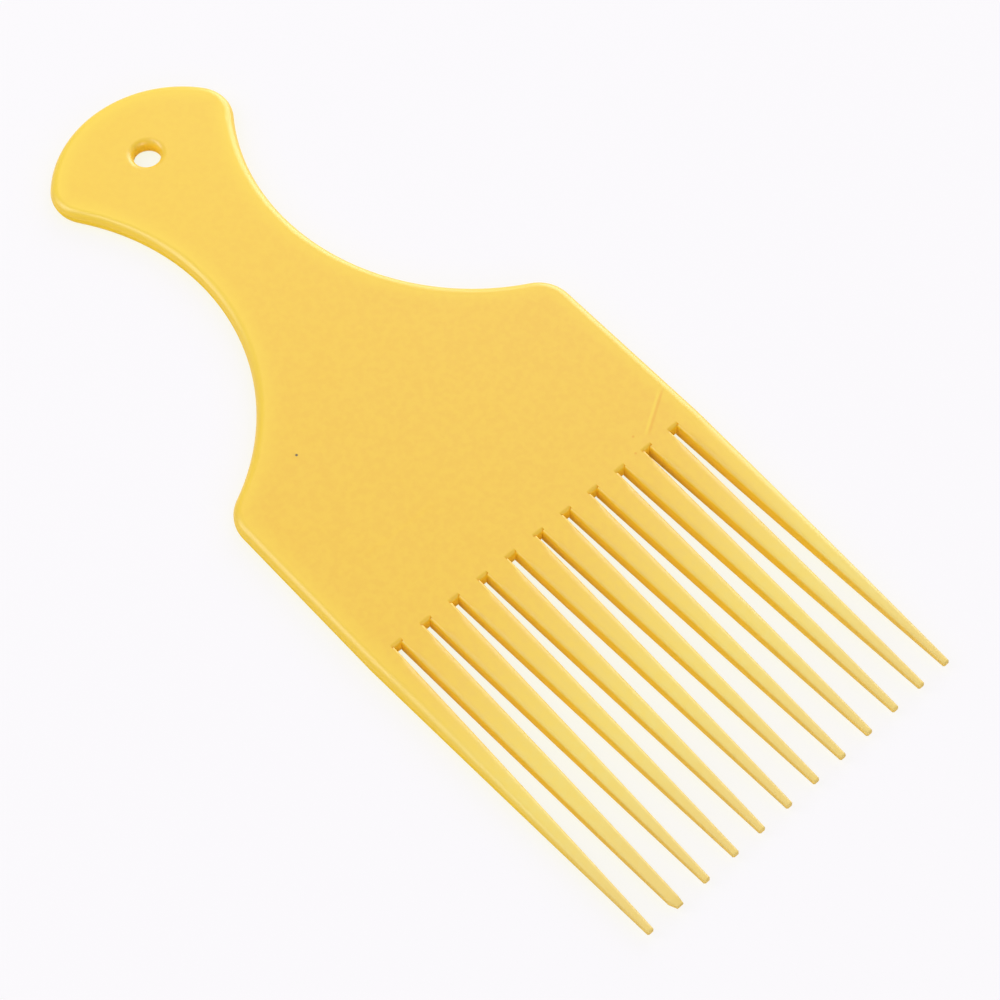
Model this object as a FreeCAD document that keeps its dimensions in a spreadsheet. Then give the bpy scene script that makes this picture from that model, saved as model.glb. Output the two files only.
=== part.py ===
import FreeCAD, Part
import math
import os

import Sketcher
from FreeCAD import Vector

# An afro pick lying flat: X runs from the handle's end to the tooth tips, Y across the teeth, Z up
# through the thickness. The origin is under the middle of the pick, on the surface it lies on.
DIMENSIONS = {
    "pick_length": 177.4,
    "thickness": 3.2,
    "rim_radius": 1.55,
    "plate_half_width": 35.65,
    "shoulder_radius": 6.7,
    "neck_half_width": 9.7,
    "neck_radius": 43.0,
    "neck_from_end": 40.9,
    "neck_half_length": 20.0,
    "fan_radius": 21.8,
    "fan_corner_radius": 6.9,
    "hole_radius": 2.4,
    "hole_from_end": 13.8,
    "hole_edge_radius": 1.25,
    "slot_end_radius": 0.7,
    "tooth_count": 12,
    "tooth_pitch": 6.0,
    "tip_pitch": 5.95,
    "tooth_length": 60.9,
    "tip_line_skew": 1.4,
    "slot_width": 1.4,
    "tooth_edge_radius": 0.4,
    "middle_thickness": 2.5,
    "tip_width": 1.25,
    "tip_thickness": 1.0,
    "tip_edge_radius": 0.35,
    "tip_bevel": 0.2,
    "blunt_tip_width": 2.0,
    "blunt_tip_bevel": 0.6,
    "blunt_tip_length": 1.4,
    "tooth_04_tip_shift": 0.25,
    "tooth_06_root_shift": 0.2,
    "tooth_10_root_shift": 0.1,
    "tooth_11_root_shift": -0.2,
    "tooth_12_tip_shift": -0.2,
}

# Places worked out from the driving dimensions.
FRONT_X = "(Dims.pick_length / 2 - Dims.tooth_length)"
NECK_X = "(Dims.neck_from_end - Dims.pick_length / 2)"
HOLE_X = "(Dims.hole_from_end - Dims.pick_length / 2)"
FIRST_TO_LAST = "(Dims.tooth_pitch * (Dims.tooth_count - 1))"
FIRST_TO_LAST_SLOT = "(Dims.tooth_pitch * (Dims.tooth_count - 2))"
ROOT_HALF_WIDTH = "((Dims.tooth_pitch - Dims.slot_width) / 2)"
OUTER_HALF_WIDTH = f"(Dims.plate_half_width - {FIRST_TO_LAST} / 2)"

BLUNT_TOOTH = 2
START, END, CENTRE = 1, 2, 3
ORIGIN_POINT = (-1, 1)
X_AXIS = -1
TOUCH = 1e-4

doc = FreeCAD.newDocument("afro_pick")
dims = doc.addObject("Spreadsheet::Sheet", "Dims")
for row, (alias, number) in enumerate(DIMENSIONS.items(), start=1):
    dims.set(f"A{row}", alias)
    dims.set(f"B{row}", str(number))
    dims.setAlias(f"B{row}", alias)
doc.recompute()


def size(expression):
    """The present value of an expression in the sheet's cells."""
    return float(dims.evalExpression(expression))


def direction(start, end):
    """Angle of the way from start to end, from 0 to a full turn."""
    return math.atan2(end.y - start.y, end.x - start.x) % (2 * math.pi)


def new_sketch(body, role, name):
    plane = next(f for f in body.Origin.OriginFeatures if f.Role == role)
    sketch = body.newObject("Sketcher::SketchObject", name)
    sketch.AttachmentSupport = [(plane, "")]
    sketch.MapMode = "FlatFace"
    return sketch


def add_line(sketch, start, end):
    return sketch.addGeometry(Part.LineSegment(start, end), False)


def add_arc(sketch, centre, radius, first, last):
    circle = Part.Circle(centre, Vector(0, 0, 1), radius)
    return sketch.addGeometry(Part.ArcOfCircle(circle, first, last), False)


def relate(sketch, kind, *where):
    return sketch.addConstraint(Sketcher.Constraint(kind, *where))


def dimension(sketch, name, expression, kind, *where):
    """Add a driving dimension to a sketch and tie it to the sheet."""
    index = sketch.addConstraint(Sketcher.Constraint(kind, *where, size(expression)))
    sketch.renameConstraint(index, name)
    sketch.setExpression(f"Constraints.{name}", expression)


def edges_where(feature, test):
    """Names of the feature's edges whose end points and middle all pass the test."""
    names = []
    for number, edge in enumerate(feature.Shape.Edges, start=1):
        middle = edge.valueAt((edge.FirstParameter + edge.LastParameter) / 2)
        points = [vertex.Point for vertex in edge.Vertexes] + [middle]
        if all(test(point) for point in points):
            names.append(f"Edge{number}")
    return names


def on_a_face(point):
    return min(abs(point.z), abs(point.z - size("Dims.thickness"))) < TOUCH


def round_edges(body, base, name, edges, radius):
    fillet = body.newObject("PartDesign::Fillet", name)
    fillet.Base = (base, edges)
    fillet.setExpression("Radius", radius)
    doc.recompute()
    return fillet


def outline_sketch(body):
    """Plan of the handle and comb back: fan, waist, shoulders and straight sides."""
    half_width = size("Dims.plate_half_width")
    neck_radius = size("Dims.neck_radius")
    shoulder_radius = size("Dims.shoulder_radius")
    corner_radius = size("Dims.fan_corner_radius")
    fan_radius = size("Dims.fan_radius")
    front_x = size(FRONT_X)

    neck = Vector(size(NECK_X), size("Dims.neck_half_width") + neck_radius, 0)
    fan = Vector(fan_radius - size("Dims.pick_length") / 2, 0, 0)
    shoulder_y = half_width - shoulder_radius
    shoulder_run = math.sqrt((neck_radius + shoulder_radius) ** 2 - (neck.y - shoulder_y) ** 2)
    shoulder = Vector(neck.x + shoulder_run, shoulder_y, 0)

    # The corner arc touches the waist arc from outside and the fan arc from inside.
    span = (fan - neck).Length
    reach = neck_radius + corner_radius
    along = (reach ** 2 - (fan_radius - corner_radius) ** 2 + span ** 2) / (2 * span)
    across = math.sqrt(reach ** 2 - along ** 2)
    to_fan = (fan - neck).normalize()
    corner = neck + to_fan * along + Vector(to_fan.y, -to_fan.x, 0) * across

    shoulder_end = direction(shoulder, neck)
    corner_start = direction(corner, neck)
    corner_end = direction(fan, corner)
    waist_start = direction(neck, corner)
    waist_end = direction(neck, shoulder)
    turn = 2 * math.pi

    def mirrored(point):
        return Vector(point.x, -point.y, 0)

    sketch = new_sketch(body, "XY_Plane", "outline")
    front = add_line(sketch, Vector(front_x, -half_width, 0), Vector(front_x, half_width, 0))
    side = add_line(sketch, Vector(front_x, half_width, 0), Vector(shoulder.x, half_width, 0))
    shoulder_arc = add_arc(sketch, shoulder, shoulder_radius, math.pi / 2, shoulder_end)
    waist_arc = add_arc(sketch, neck, neck_radius, waist_start, waist_end)
    corner_arc = add_arc(sketch, corner, corner_radius, corner_start, corner_end)
    fan_arc = add_arc(sketch, fan, fan_radius, corner_end, turn - corner_end)
    low_corner = add_arc(sketch, mirrored(corner), corner_radius, turn - corner_end, turn - corner_start)
    low_waist = add_arc(sketch, mirrored(neck), neck_radius, turn - waist_end, turn - waist_start)
    low_shoulder = add_arc(sketch, mirrored(shoulder), shoulder_radius, turn - shoulder_end, 1.5 * math.pi)
    low_side = add_line(sketch, Vector(shoulder.x, -half_width, 0), Vector(front_x, -half_width, 0))

    relate(sketch, "Coincident", front, END, side, START)
    relate(sketch, "Tangent", side, END, shoulder_arc, START)
    relate(sketch, "Tangent", shoulder_arc, END, waist_arc, END)
    relate(sketch, "Tangent", waist_arc, START, corner_arc, START)
    relate(sketch, "Tangent", corner_arc, END, fan_arc, START)
    relate(sketch, "Tangent", fan_arc, END, low_corner, START)
    relate(sketch, "Tangent", low_corner, END, low_waist, END)
    relate(sketch, "Tangent", low_waist, START, low_shoulder, START)
    relate(sketch, "Tangent", low_shoulder, END, low_side, START)
    relate(sketch, "Coincident", low_side, END, front, START)
    relate(sketch, "Horizontal", side)
    relate(sketch, "Horizontal", low_side)
    relate(sketch, "Symmetric", front, START, front, END, X_AXIS)
    relate(sketch, "Symmetric", waist_arc, CENTRE, low_waist, CENTRE, X_AXIS)
    relate(sketch, "PointOnObject", fan_arc, CENTRE, X_AXIS)
    relate(sketch, "Equal", shoulder_arc, low_shoulder)
    relate(sketch, "Equal", waist_arc, low_waist)
    relate(sketch, "Equal", corner_arc, low_corner)

    dimension(sketch, "width", "2 * Dims.plate_half_width", "DistanceY", front, START, front, END)
    dimension(sketch, "front_x", FRONT_X, "DistanceX", *ORIGIN_POINT, front, START)
    dimension(sketch, "neck_x", NECK_X, "DistanceX", *ORIGIN_POINT, waist_arc, CENTRE)
    neck_y = "Dims.neck_half_width + Dims.neck_radius"
    dimension(sketch, "neck_y", neck_y, "DistanceY", *ORIGIN_POINT, waist_arc, CENTRE)
    fan_x = "Dims.fan_radius - Dims.pick_length / 2"
    dimension(sketch, "fan_x", fan_x, "DistanceX", *ORIGIN_POINT, fan_arc, CENTRE)
    dimension(sketch, "shoulder_radius", "Dims.shoulder_radius", "Radius", shoulder_arc)
    dimension(sketch, "neck_radius", "Dims.neck_radius", "Radius", waist_arc)
    dimension(sketch, "corner_radius", "Dims.fan_corner_radius", "Radius", corner_arc)
    dimension(sketch, "fan_radius", "Dims.fan_radius", "Radius", fan_arc)
    return sketch


def front_edge_sketch(body, name, face_z, inwards):
    """Corner between a face and the front of the comb back at the first slot, outside a small radius."""
    radius = size("Dims.slot_end_radius")
    front, z = size(FRONT_X), size(face_z)
    start = Vector(front - radius, z, 0)
    end = Vector(front, z + inwards * radius, 0)
    centre = Vector(front - radius, z + inwards * radius, 0)

    sketch = new_sketch(body, "XZ_Plane", name)
    sketch.setExpression("AttachmentOffset.Base.z", f"{FIRST_TO_LAST_SLOT} / 2")
    along = add_line(sketch, start, Vector(front, z, 0))
    down = add_line(sketch, Vector(front, z, 0), end)
    first, last = sorted((0, -inwards * math.pi / 2))
    arc = add_arc(sketch, centre, radius, first, last)
    at_end, at_start = (START, END) if inwards < 0 else (END, START)

    relate(sketch, "Coincident", along, END, down, START)
    relate(sketch, "Tangent", along, START, arc, at_start)
    relate(sketch, "Tangent", down, END, arc, at_end)
    relate(sketch, "Horizontal", along)
    relate(sketch, "Vertical", down)
    dimension(sketch, "front_x", FRONT_X, "DistanceX", *ORIGIN_POINT, down, START)
    dimension(sketch, "face_z", face_z, "DistanceY", *ORIGIN_POINT, down, START)
    dimension(sketch, "radius", "Dims.slot_end_radius", "Radius", arc)
    return sketch


def make_plate():
    """Handle and comb back as one moulded plate with a round rim, a hang hole and eased slot ends."""
    body = doc.addObject("PartDesign::Body", "plate")
    pad = body.newObject("PartDesign::Pad", "plate_pad")
    pad.Profile = outline_sketch(body)
    pad.setExpression("Length", "Dims.thickness")
    doc.recompute()

    front_x = size(FRONT_X)
    rim = edges_where(pad, on_a_face)
    front_edges = edges_where(pad, lambda p: abs(p.x - front_x) < TOUCH)
    rim = [name for name in rim if name not in front_edges]
    rounded = round_edges(body, pad, "round_rim", rim, "Dims.rim_radius")

    hole = new_sketch(body, "XY_Plane", "hang_hole")
    centre = Vector(size(HOLE_X), 0, 0)
    circle = hole.addGeometry(Part.Circle(centre, Vector(0, 0, 1), size("Dims.hole_radius")), False)
    relate(hole, "PointOnObject", circle, CENTRE, X_AXIS)
    dimension(hole, "hole_x", HOLE_X, "DistanceX", *ORIGIN_POINT, circle, CENTRE)
    dimension(hole, "hole_radius", "Dims.hole_radius", "Radius", circle)
    bored = cut_through(body, hole, "bore", rounded)
    near_hole = size("Dims.hole_radius") + TOUCH
    lips = edges_where(bored, lambda p: on_a_face(p) and (p - Vector(centre.x, 0, p.z)).Length < near_hole)
    round_edges(body, bored, "round_hole", lips, "Dims.hole_edge_radius")

    ease_front(body, "ease_top", "Dims.thickness", -1)
    ease_front(body, "ease_bottom", "0", 1)
    return body


def ease_front(body, name, face_z, inwards):
    """Round one front edge of the comb back at the end of every slot."""
    before = body.Tip
    pocket = body.newObject("PartDesign::Pocket", name)
    pocket.Profile = front_edge_sketch(body, f"{name}_corner", face_z, inwards)
    pocket.SideType = "Symmetric"
    pocket.setExpression("Length", "Dims.slot_width + 2 * Dims.tooth_edge_radius")
    doc.recompute()
    check_cut(pocket, before)

    row = body.newObject("PartDesign::LinearPattern", f"{name}_row")
    row.Originals = [pocket]
    row.Direction = (next(f for f in body.Origin.OriginFeatures if f.Role == "Y_Axis"), [""])
    row.setExpression("Length", FIRST_TO_LAST_SLOT)
    row.setExpression("Occurrences", "Dims.tooth_count - 1")
    body.Tip = row
    doc.recompute()
    check_cut(row, pocket)


def cut_through(body, sketch, name, before):
    """Cut a sketch upwards through the whole thickness."""
    pocket = body.newObject("PartDesign::Pocket", name)
    pocket.Profile = sketch
    pocket.Type = "ThroughAll"
    pocket.Reversed = True
    doc.recompute()
    check_cut(pocket, before)
    return pocket


def check_cut(pocket, before):
    if pocket.Shape.Volume >= before.Shape.Volume - TOUCH:
        raise RuntimeError(f"{pocket.Name} cut nothing")


def make_region(label, plate, start_x, end_x):
    """The stretch of the plate between two places along its length."""
    block = doc.addObject("Part::Box", f"{label}_block")
    block.setExpression("Length", f"{end_x} - {start_x}")
    block.setExpression("Width", "2 * Dims.plate_half_width")
    block.setExpression("Height", "Dims.thickness")
    block.setExpression("Placement.Base.x", start_x)
    block.setExpression("Placement.Base.y", "-Dims.plate_half_width")
    region = doc.addObject("Part::Common", label)
    region.Base = plate
    region.Tool = block
    region.Label = label
    return region


def tooth_section(body, name, station, near, far, thickness, near_radius, far_radius):
    """Rounded section across a tooth, at a distance along it from the front of the comb back."""
    left, right = -size(near), size(far)
    low = (size("Dims.thickness") - size(thickness)) / 2
    high = low + size(thickness)
    r, q = size(near_radius), size(far_radius)

    sketch = new_sketch(body, "YZ_Plane", name)
    sketch.setExpression("AttachmentOffset.Base.z", station)
    bottom = add_line(sketch, Vector(left + r, low, 0), Vector(right - q, low, 0))
    corner_a = add_arc(sketch, Vector(right - q, low + q, 0), q, 1.5 * math.pi, 2 * math.pi)
    far_side = add_line(sketch, Vector(right, low + q, 0), Vector(right, high - q, 0))
    corner_b = add_arc(sketch, Vector(right - q, high - q, 0), q, 0, math.pi / 2)
    top = add_line(sketch, Vector(right - q, high, 0), Vector(left + r, high, 0))
    corner_c = add_arc(sketch, Vector(left + r, high - r, 0), r, math.pi / 2, math.pi)
    near_side = add_line(sketch, Vector(left, high - r, 0), Vector(left, low + r, 0))
    corner_d = add_arc(sketch, Vector(left + r, low + r, 0), r, math.pi, 1.5 * math.pi)

    ring = [bottom, corner_a, far_side, corner_b, top, corner_c, near_side, corner_d]
    for piece, following in zip(ring, ring[1:] + ring[:1]):
        relate(sketch, "Tangent", piece, END, following, START)
    relate(sketch, "Horizontal", bottom)
    relate(sketch, "Horizontal", top)
    relate(sketch, "Vertical", far_side)
    relate(sketch, "Vertical", near_side)
    relate(sketch, "Equal", corner_a, corner_b)
    relate(sketch, "Equal", corner_c, corner_d)
    low_z = f"(Dims.thickness - {thickness}) / 2"
    high_z = f"(Dims.thickness + {thickness}) / 2"
    dimension(sketch, "low_z", low_z, "DistanceY", *ORIGIN_POINT, bottom, START)
    dimension(sketch, "high_z", high_z, "DistanceY", *ORIGIN_POINT, top, START)
    dimension(sketch, "near_y", f"-{near}", "DistanceX", *ORIGIN_POINT, near_side, START)
    dimension(sketch, "far_y", far, "DistanceX", *ORIGIN_POINT, far_side, START)
    dimension(sketch, "far_radius", far_radius, "Radius", corner_a)
    dimension(sketch, "near_radius", near_radius, "Radius", corner_c)
    return sketch


def shift(number, end):
    """How far the root or tip of one tooth stands sideways of its place in the row."""
    alias = f"tooth_{number:02d}_{end}_shift"
    return f"Dims.{alias}" if alias in DIMENSIONS else "0"


def from_middle(number, pitch):
    """Place of a tooth across the pick, in a row with the given pitch."""
    return f"({number} - (Dims.tooth_count + 1) / 2) * {pitch}"


def make_tooth(number):
    """One tapered tooth, from the comb back's front to its tip, thinning about its middle plane."""
    label = f"tooth_{number:02d}"
    first, last = number == 1, number == int(size("Dims.tooth_count"))
    blunt = number == BLUNT_TOOTH
    lean = from_middle(number, "(Dims.tip_pitch - Dims.tooth_pitch)")
    root_shift, tip_shift = shift(number, "root"), f"({lean} + {shift(number, 'tip')})"
    near_root = OUTER_HALF_WIDTH if first else f"({ROOT_HALF_WIDTH} - {root_shift})"
    far_root = OUTER_HALF_WIDTH if last else f"({ROOT_HALF_WIDTH} + {root_shift})"
    near_edge = "Dims.rim_radius" if first else "Dims.tooth_edge_radius"
    far_edge = "Dims.rim_radius" if last else "Dims.tooth_edge_radius"
    tip_half = "Dims.blunt_tip_width / 2" if blunt else "Dims.tip_width / 2"
    near_tip, far_tip = f"({tip_half} - {tip_shift})", f"({tip_half} + {tip_shift})"
    tip_edge = "Dims.tip_edge_radius"
    near_bevel = "Dims.blunt_tip_bevel" if blunt else "Dims.tip_bevel"
    bevel_length = "Dims.blunt_tip_length" if blunt else "Dims.tip_bevel"
    end_edge = f"({tip_edge} - Dims.tip_bevel)"
    reach = f"(Dims.tooth_length - Dims.tip_line_skew * {number - 1} / (Dims.tooth_count - 1))"

    body = doc.addObject("PartDesign::Body", label)
    body.Label = label
    root = tooth_section(body, "root", "0", near_root, far_root, "Dims.thickness", near_edge, far_edge)
    middle = tooth_section(
        body, "middle", f"{reach} / 2", f"(({near_root} + {near_tip}) / 2)",
        f"(({far_root} + {far_tip}) / 2)", "Dims.middle_thickness",
        f"(({near_edge} + {tip_edge}) / 2)", f"(({far_edge} + {tip_edge}) / 2)")
    tip = tooth_section(
        body, "tip", f"{reach} - {bevel_length}", near_tip, far_tip, "Dims.tip_thickness",
        tip_edge, tip_edge)
    end = tooth_section(
        body, "end", reach, f"({near_tip} - {near_bevel})", f"({far_tip} - Dims.tip_bevel)",
        "(Dims.tip_thickness - 2 * Dims.tip_bevel)", end_edge, end_edge)
    loft_between(body, "taper", root, [middle, tip])
    loft_between(body, "tip_end", tip, [end])
    body.setExpression("Placement.Base.x", FRONT_X)
    body.setExpression("Placement.Base.y", from_middle(number, "Dims.tooth_pitch"))
    doc.recompute()
    return body


def loft_between(body, name, profile, sections):
    loft = body.newObject("PartDesign::AdditiveLoft", name)
    loft.Profile = profile
    loft.Sections = sections
    loft.Ruled = len(sections) == 1


plate = make_plate()
END_X = "(-Dims.pick_length / 2)"
GRIP_X = f"({NECK_X} - Dims.neck_half_length)"
BACK_X = f"({NECK_X} + Dims.neck_half_length)"
sub_parts = [
    make_region("grip", plate, END_X, GRIP_X),
    make_region("neck", plate, GRIP_X, BACK_X),
    make_region("comb_back", plate, BACK_X, FRONT_X),
]
for tooth_number in range(1, int(size("Dims.tooth_count")) + 1):
    sub_parts.append(make_tooth(tooth_number))
doc.recompute()

for item in doc.Objects:
    if "Invalid" in item.State or "Error" in item.State:
        raise RuntimeError(f"{item.Label} failed: {item.State}")
for part in sub_parts:
    if part.Shape.isNull() or not part.Shape.isValid() or len(part.Shape.Solids) != 1:
        raise RuntimeError(f"{part.Label} is not one valid solid")

os.makedirs("parts", exist_ok=True)
for part in sub_parts:
    part.Shape.exportStep(f"parts/{part.Label}.step")
    print(part.Label, round(part.Shape.Volume, 2), "cubic mm")
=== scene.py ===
import math

import bpy
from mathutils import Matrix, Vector


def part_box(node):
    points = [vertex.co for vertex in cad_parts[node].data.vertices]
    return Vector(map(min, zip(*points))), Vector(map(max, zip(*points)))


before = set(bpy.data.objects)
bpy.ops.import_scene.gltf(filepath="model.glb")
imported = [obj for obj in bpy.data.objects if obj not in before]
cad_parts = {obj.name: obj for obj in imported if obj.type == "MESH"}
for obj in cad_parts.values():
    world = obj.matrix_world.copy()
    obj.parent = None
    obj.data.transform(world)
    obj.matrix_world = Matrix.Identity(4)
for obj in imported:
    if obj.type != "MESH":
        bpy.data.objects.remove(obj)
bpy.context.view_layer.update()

MM = 0.001

# Places on the pick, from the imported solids
HANDLE_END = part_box("grip")[0].x
NECK_MIDDLE = (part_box("neck")[0].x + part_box("neck")[1].x) / 2
PLATE_HALF_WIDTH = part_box("comb_back")[1].y
PLATE_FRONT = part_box("comb_back")[1].x
TOOTH_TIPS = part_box("tooth_01")[1].x

# Curves of the handle's outline
FAN_RADIUS = 21.8 * MM
NECK_RADIUS = 43.0 * MM
NECK_HALF_WIDTH = 9.7 * MM

# Softer look of the teeth's long edges: its radius at root and tip, and where it starts and is full
ROOT_SOFTNESS = 1.5 * MM
TIP_SOFTNESS = 0.5 * MM
SOFT_START = PLATE_FRONT + ROOT_SOFTNESS
SOFT_FULL = PLATE_FRONT + 3.0 * ROOT_SOFTNESS

# Colours of the plastic: thick plate; a paler tone for the mottle and beside the flow line, which is also
# painted glow of light through the thin rim and the handle; teeth, paler with painted glow; tips; walls
# and tilted rims, warmer with painted glow; flow line and dark speck
CORE_COLOUR = (0.86, 0.52, 0.03)
PALE_TONE_AND_PAINTED_GLOW_COLOUR = (0.92, 0.64, 0.039)
TOOTH_PAINTED_GLOW_COLOUR = (0.89, 0.71, 0.155)
TIP_COLOUR = (0.84, 0.58, 0.19)
WALL_PAINTED_GLOW_COLOUR = (0.98, 0.64, 0.035)
FLOW_COLOUR = (0.82, 0.41, 0.006)
SPECK_COLOUR = (0.06, 0.045, 0.02)

# How far the rim's painted glow reaches in, and where the painted glow of the teeth and the tint of the
# tips start and are full
RIM_GLOW_REACH = 5.0 * MM
TOOTH_GLOW_START = PLATE_FRONT - 5.0 * MM
TOOTH_GLOW_FULL = TOOTH_TIPS - 15.0 * MM
TIP_TINT_START = TOOTH_TIPS - 32.0 * MM

# Share of each tint where it is strongest; at the rim and the handle's end the tint is painted glow
RIM_GLOW_SHARE = 0.75
HANDLE_GLOW_SHARE = 0.45
MOTTLE_SHARE = 0.3
FLOW_SHARE = 0.7
BESIDE_FLOW_SHARE = 0.8
TIP_SHARE = 0.55

# Marks of the moulding on the comb back, in mm: two ends of a line, or the middle of a speck
FLOW_LINE = ((20.85, 34.2), (26.4, 25.4))
SCUFF = ((12.2, -25.0), (12.4, -7.5))
DARK_SPECK = (-9.55, -19.76)
GOLD_SPECKS = ((24.6, 23.8), (27.2, 21.9))

# Sizes of the marks
FLOW_HALF_WIDTH = 0.4 * MM
BESIDE_FLOW = 0.55 * MM
SCUFF_HALF_WIDTH = 0.5 * MM
DARK_SPECK_RADIUS = 0.32 * MM
GOLD_SPECK_RADIUS = 0.3 * MM

# Where the marks fade: shares of a speck's radius, and of a line's length from its centre
SPECK_CORE = 0.4
LINE_CORE = 0.3
LINE_END = 0.52

# Unevenness of the surface: patches of colour, slow waves and fine grain
MOTTLE_SIZE = 1.2 * MM
MOTTLE_DETAIL = 4.0
MOTTLE_LOW = 0.3
MOTTLE_HIGH = 0.7
WAVE_SIZE = 9.0 * MM
WAVE_DETAIL = 3.0
WAVE_HEIGHT = 0.012 * MM
GRAIN_SIZE = 0.5 * MM
GRAIN_DETAIL = 2.0
GRAIN_HEIGHT = 0.0006 * MM

# How level a surface is, from upright walls, over tilted rims, to level faces
UPRIGHT = 0.1
TILTED = 0.45
LEVEL = 1.0

# Gloss of walls and faces, and what the waves and the scuff add to the roughness
WALL_ROUGHNESS = 0.6
FACE_ROUGHNESS = 0.3
WAVE_ROUGHNESS = 0.1
SCUFF_ROUGHNESS = 0.12
WALL_SPECULAR = 0.2
FACE_SPECULAR = 0.8
PLASTIC_IOR = 1.49

# Rays that each shading point sends out for the soft edges and for the painted yellow light in the gaps
SHADING_SAMPLES = 8

# Floor and backdrop, and the even light of the room
FLOOR_SIZE = 6.0
FLOOR_DROP = 0.02 * MM
PAPER_COLOUR = (0.93, 0.92, 0.935)
BACKDROP_COLOUR = (0.975, 0.958, 0.985)
BACKDROP_SHARE = 0.9
# Painted yellow light on the floor in the pick's gaps, and how far it reaches from the pick
GAP_PAINTED_GLOW_COLOUR = (0.985, 0.985, 0.78)
GAP_GLOW_REACH = 8.0 * MM
ROOM_COLOUR = (1.0, 1.0, 1.0)
ROOM_BRIGHTNESS = 0.23

# Camera, from fitting the pick's outline to the photo, with its angles in degrees
CAMERA_AZIMUTH = 48.22
CAMERA_ELEVATION = 59.86
CAMERA_DISTANCE = 427.1 * MM
CAMERA_TARGET = Vector((17.61 * MM, 0.66 * MM, 0.0))
CAMERA_SENSOR = 36.0
CAMERA_LENS = 94.0
CAMERA_CLIP = 0.01

# Softboxes: name, azimuth and elevation in degrees, distance, width and height in metres, brightness
SOFTBOXES = (
    ("overhead", CAMERA_AZIMUTH + 180.0, 50.0, 0.9, 0.75, 0.75, 0.8),
    ("backdrop", 206.0, 20.0, 1.2, 0.9, 1.0, 3.6),
    ("left", -40.0, 46.0, 1.0, 0.4, 0.95, 4.0),
    ("front", 76.0, 28.0, 1.0, 0.6, 0.5, 3.2),
)


class NodeTree:
    """Short calls for making and linking shader nodes."""

    def __init__(self, tree):
        self.tree = tree
        tree.nodes.clear()

    def add(self, kind, inputs=None, **settings):
        node = self.tree.nodes.new("ShaderNode" + kind)
        for name, value in settings.items():
            setattr(node, name, value)
        for name, value in (inputs or {}).items():
            self.feed(node.inputs[name], value)
        return node

    def feed(self, socket, value):
        if isinstance(value, bpy.types.NodeSocket):
            self.tree.links.new(value, socket)
        else:
            socket.default_value = value

    def math(self, operation, *values):
        node = self.add("Math", operation=operation)
        for socket, value in zip(node.inputs, values):
            self.feed(socket, value)
        return node.outputs[0]

    def length(self, a, b):
        squares = self.math("ADD", self.math("POWER", a, 2.0), self.math("POWER", b, 2.0))
        return self.math("SQRT", squares)

    def ramp(self, value, low, high, start=0.0, end=1.0):
        """Start at low, end at high, smooth between."""
        limits = {"From Min": low, "From Max": high, "To Min": start, "To Max": end}
        node = self.add("MapRange", {"Value": value, **limits}, interpolation_type="SMOOTHSTEP")
        return node.outputs["Result"]

    def mix(self, amount, first, second):
        node = self.add("Mix", data_type="RGBA")
        self.feed(node.inputs["Factor"], amount)
        self.feed(node.inputs["A"], opaque(first))
        self.feed(node.inputs["B"], opaque(second))
        return node.outputs["Result"]

    def mix_shaders(self, amount, first, second):
        node = self.add("MixShader", {"Fac": amount})
        self.feed(node.inputs[1], first)
        self.feed(node.inputs[2], second)
        return node.outputs["Shader"]

    def noise(self, place, size, detail):
        node = self.add("TexNoise", {"Vector": place, "Scale": 1.0 / size, "Detail": detail})
        return node.outputs["Fac"]


def opaque(colour):
    if isinstance(colour, bpy.types.NodeSocket):
        return colour
    return (*colour, 1.0)


def edge_depth(nodes, x, y):
    """How far a point of the handle or plate lies in from the nearest edge of the outline."""
    fan_x = HANDLE_END + FAN_RADIUS
    on_grip = nodes.math("LESS_THAN", x, NECK_MIDDLE)
    narrower = FAN_RADIUS - PLATE_HALF_WIDTH
    half_width = nodes.math("MULTIPLY_ADD", on_grip, narrower, PLATE_HALF_WIDTH)
    past_fan = nodes.math("MINIMUM", nodes.math("SUBTRACT", x, fan_x), 0.0)
    side = nodes.math("SUBTRACT", half_width, nodes.length(past_fan, y))
    along = nodes.math("SUBTRACT", x, NECK_MIDDLE)
    across = nodes.math("SUBTRACT", nodes.math("ABSOLUTE", y), NECK_HALF_WIDTH + NECK_RADIUS)
    waist = nodes.math("SUBTRACT", nodes.length(along, across), NECK_RADIUS)
    return nodes.math("MINIMUM", side, waist)


def spot(nodes, x, y, middle, radius):
    """1 in the core of a round spot of the plan, fading to 0 at its edge."""
    along = nodes.math("SUBTRACT", x, middle[0] * MM)
    across = nodes.math("SUBTRACT", y, middle[1] * MM)
    return nodes.ramp(nodes.length(along, across), radius, SPECK_CORE * radius)


def streak(nodes, x, y, ends, half_width, offset=0.0):
    """1 along a straight line of the plan, or beside it, fading towards its ends and sides."""
    start, end = (Vector(point) * MM for point in ends)
    length = (end - start).length
    way = (end - start) / length
    ahead = nodes.math("MULTIPLY_ADD", x, way.x, nodes.math("MULTIPLY", y, way.y))
    beside = nodes.math("MULTIPLY_ADD", x, way.y, nodes.math("MULTIPLY", y, -way.x))
    centre_ahead = way.dot(start) + length / 2
    centre_beside = way.y * start.x - way.x * start.y + offset
    from_centre = nodes.math("ABSOLUTE", nodes.math("SUBTRACT", ahead, centre_ahead))
    from_line = nodes.math("ABSOLUTE", nodes.math("SUBTRACT", beside, centre_beside))
    ending = nodes.ramp(from_centre, LINE_END * length, LINE_CORE * length)
    return nodes.math("MULTIPLY", nodes.ramp(from_line, half_width, 0.0), ending)


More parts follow.
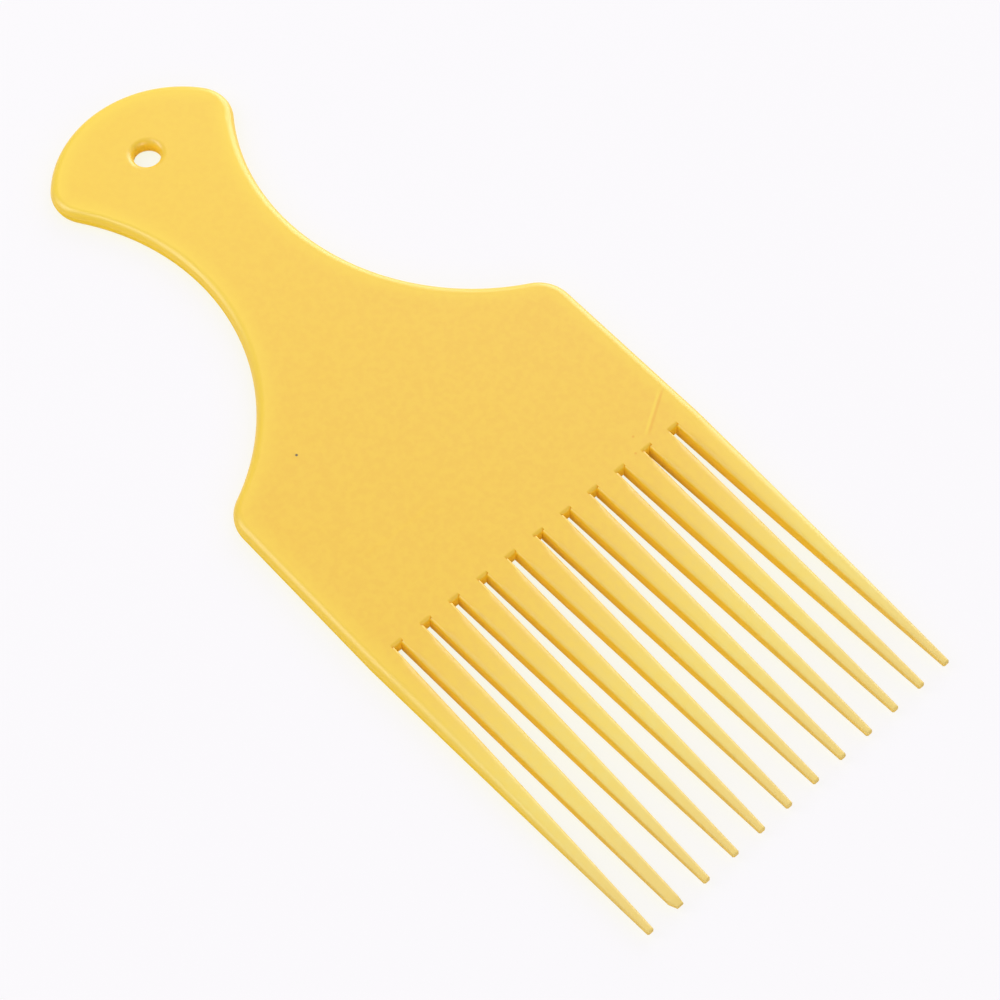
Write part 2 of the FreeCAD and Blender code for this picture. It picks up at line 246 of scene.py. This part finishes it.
def body_colour(nodes, place, x, y):
    """Colour of level faces, lighter with painted glow at the rim, the handle's end and the teeth, and
    mottled.
    """
    # Painted light: lighter near the outline's edges and towards the handle's end
    rim = nodes.ramp(edge_depth(nodes, x, y), RIM_GLOW_REACH, 0.0, 0.0, RIM_GLOW_SHARE)
    handle = nodes.ramp(x, 0.0, HANDLE_END, 0.0, HANDLE_GLOW_SHARE)
    colour = nodes.mix(nodes.math("ADD", rim, handle), CORE_COLOUR, PALE_TONE_AND_PAINTED_GLOW_COLOUR)
    # Painted glow: the teeth turn paler towards their tips, as if lit through the thin plastic
    colour = nodes.mix(nodes.ramp(x, TOOTH_GLOW_START, TOOTH_GLOW_FULL), colour, TOOTH_PAINTED_GLOW_COLOUR)
    patches = nodes.noise(place, MOTTLE_SIZE, MOTTLE_DETAIL)
    mottle = nodes.ramp(patches, MOTTLE_LOW, MOTTLE_HIGH, 0.0, MOTTLE_SHARE)
    return nodes.mix(mottle, colour, PALE_TONE_AND_PAINTED_GLOW_COLOUR)


def marked_colour(nodes, x, y, colour):
    """A colour with the flow line, the paler line beside it and the specks laid over it."""
    flow = streak(nodes, x, y, FLOW_LINE, FLOW_HALF_WIDTH)
    colour = nodes.mix(nodes.math("MULTIPLY", flow, FLOW_SHARE), colour, FLOW_COLOUR)
    beside = streak(nodes, x, y, FLOW_LINE, FLOW_HALF_WIDTH, BESIDE_FLOW)
    colour = nodes.mix(nodes.math("MULTIPLY", beside, BESIDE_FLOW_SHARE), colour, PALE_TONE_AND_PAINTED_GLOW_COLOUR)
    colour = nodes.mix(spot(nodes, x, y, DARK_SPECK, DARK_SPECK_RADIUS), colour, SPECK_COLOUR)
    for middle in GOLD_SPECKS:
        colour = nodes.mix(spot(nodes, x, y, middle, GOLD_SPECK_RADIUS), colour, FLOW_COLOUR)
    return colour


def surface_normal(nodes, place, waves, x):
    """Waves and grain over all surfaces, and a softer look for the teeth's long edges."""
    grain = nodes.noise(place, GRAIN_SIZE, GRAIN_DETAIL)
    wave_height = nodes.math("MULTIPLY", waves, WAVE_HEIGHT)
    height = nodes.math("MULTIPLY_ADD", grain, GRAIN_HEIGHT, wave_height)
    softness = nodes.ramp(x, PLATE_FRONT, TOOTH_TIPS, ROOT_SOFTNESS, TIP_SOFTNESS)
    soft = nodes.add("Bevel", {"Radius": softness}, samples=SHADING_SAMPLES).outputs["Normal"]
    sharp = nodes.add("NewGeometry").outputs["Normal"]
    facing = nodes.mix(nodes.ramp(x, SOFT_START, SOFT_FULL), sharp, soft)
    bump = nodes.add("Bump", {"Strength": 1.0, "Distance": 1.0, "Height": height, "Normal": facing})
    return bump.outputs["Normal"]


def moulded_plastic():
    """Yellow plastic, with warm walls and tilted rims in place of the light that comes through it."""
    material = bpy.data.materials.new("moulded_plastic")
    material.use_nodes = True
    nodes = NodeTree(material.node_tree)
    texture = nodes.add("TexCoord").outputs
    place = texture["Object"]
    axes = nodes.add("SeparateXYZ", {"Vector": place}).outputs
    x = axes["X"]
    y = axes["Y"]
    facing = nodes.add("SeparateXYZ", {"Vector": texture["Normal"]}).outputs
    level = nodes.math("ABSOLUTE", facing["Z"])
    glossy = nodes.ramp(level, UPRIGHT, TILTED)

    colour = marked_colour(nodes, x, y, body_colour(nodes, place, x, y))
    # Painted glow: walls and tilted rims turn warmer and lighter, in place of light coming through the
    # plastic
    colour = nodes.mix(nodes.ramp(level, TILTED, LEVEL), WALL_PAINTED_GLOW_COLOUR, colour)
    colour = nodes.mix(nodes.ramp(x, TIP_TINT_START, TOOTH_TIPS, 0.0, TIP_SHARE), colour, TIP_COLOUR)

    waves = nodes.noise(place, WAVE_SIZE, WAVE_DETAIL)
    scuff = streak(nodes, x, y, SCUFF, SCUFF_HALF_WIDTH)
    roughness = nodes.ramp(glossy, 0.0, 1.0, WALL_ROUGHNESS, FACE_ROUGHNESS)
    roughness = nodes.math("MULTIPLY_ADD", waves, WAVE_ROUGHNESS, roughness)
    roughness = nodes.math("MULTIPLY_ADD", scuff, SCUFF_ROUGHNESS, roughness)
    shader = nodes.add("BsdfPrincipled", {
        "Base Color": colour,
        "Roughness": roughness,
        "Normal": surface_normal(nodes, place, waves, x),
        "IOR": PLASTIC_IOR,
        "Specular IOR Level": nodes.ramp(glossy, 0.0, 1.0, WALL_SPECULAR, FACE_SPECULAR),
    })
    nodes.add("OutputMaterial", {"Surface": shader.outputs["BSDF"]})
    return material


def dress_nodes():
    plastic = moulded_plastic()
    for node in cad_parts.values():
        node.data.materials.clear()
        node.data.materials.append(plastic)


def backdrop_rays(nodes):
    """1 for the rays that see the pale backdrop: straight from the camera, reflected or through glass."""
    path = nodes.add("LightPath").outputs
    reflected = nodes.math("MAXIMUM", path["Is Glossy Ray"], path["Is Transmission Ray"])
    return nodes.math("MAXIMUM", path["Is Camera Ray"], reflected)


def floor_material():
    """White paper that is seen mostly as the backdrop, with painted yellow light in the gaps of the pick.
    """
    material = bpy.data.materials.new("floor")
    material.use_nodes = True
    nodes = NodeTree(material.node_tree)
    paper = nodes.add("BsdfDiffuse", {"Color": opaque(PAPER_COLOUR)})
    openness = nodes.add("AmbientOcclusion", {"Distance": GAP_GLOW_REACH}, samples=SHADING_SAMPLES)
    # Painted yellow light: the backdrop turns yellow where the pick closes in around the floor
    tint = nodes.mix(openness.outputs["AO"], GAP_PAINTED_GLOW_COLOUR, BACKDROP_COLOUR)
    backdrop = nodes.add("Emission", {"Color": tint, "Strength": 1.0})
    share = nodes.math("MULTIPLY", backdrop_rays(nodes), BACKDROP_SHARE)
    surface = nodes.mix_shaders(share, paper.outputs["BSDF"], backdrop.outputs["Emission"])
    nodes.add("OutputMaterial", {"Surface": surface})
    return material


def add_floor():
    bpy.ops.mesh.primitive_plane_add(size=FLOOR_SIZE, location=(0.0, 0.0, -FLOOR_DROP))
    floor = bpy.context.object
    floor.name = "floor"
    floor.data.materials.append(floor_material())


def add_world():
    """Even light from the room, seen as the backdrop where nothing stands in front of it."""
    world = bpy.data.worlds.new("studio")
    world.use_nodes = True
    nodes = NodeTree(world.node_tree)
    room = nodes.add("Background", {"Color": opaque(ROOM_COLOUR), "Strength": ROOM_BRIGHTNESS})
    backdrop = nodes.add("Background", {"Color": opaque(BACKDROP_COLOUR), "Strength": 1.0})
    lights = (room.outputs["Background"], backdrop.outputs["Background"])
    nodes.add("OutputWorld", {"Surface": nodes.mix_shaders(backdrop_rays(nodes), *lights)})
    bpy.context.scene.world = world


def towards(azimuth, elevation):
    """Unit vector from the pick towards a place at these angles, in degrees."""
    turn = math.radians(azimuth)
    rise = math.radians(elevation)
    return Vector((
        math.sin(turn) * math.cos(rise),
        -math.cos(turn) * math.cos(rise),
        math.sin(rise),
    ))


def aim(thing, direction, distance, target):
    """Put a lamp or the camera at a distance from the target and turn it to face the target."""
    thing.location = target + distance * direction
    thing.rotation_mode = "QUATERNION"
    thing.rotation_quaternion = (-direction).to_track_quat("-Z", "Y")
    bpy.context.scene.collection.objects.link(thing)


def add_softbox(name, azimuth, elevation, distance, width, height, brightness):
    """A lamp whose face, width across and height up, has a given brightness, where 1 is white."""
    light = bpy.data.lights.new(name, "AREA")
    light.shape = "RECTANGLE"
    light.size = width
    light.size_y = height
    light.energy = brightness * math.pi * width * height
    lamp = bpy.data.objects.new(name, light)
    aim(lamp, towards(azimuth, elevation), distance, Vector())


def add_camera():
    data = bpy.data.cameras.new("camera")
    data.sensor_width = CAMERA_SENSOR
    data.lens = CAMERA_LENS
    data.clip_start = CAMERA_CLIP
    camera = bpy.data.objects.new("camera", data)
    aim(camera, towards(CAMERA_AZIMUTH, CAMERA_ELEVATION), CAMERA_DISTANCE, CAMERA_TARGET)
    bpy.context.scene.camera = camera


dress_nodes()
add_floor()
add_world()
for softbox in SOFTBOXES:
    add_softbox(*softbox)
add_camera()
bpy.context.scene.view_settings.view_transform = "Standard"
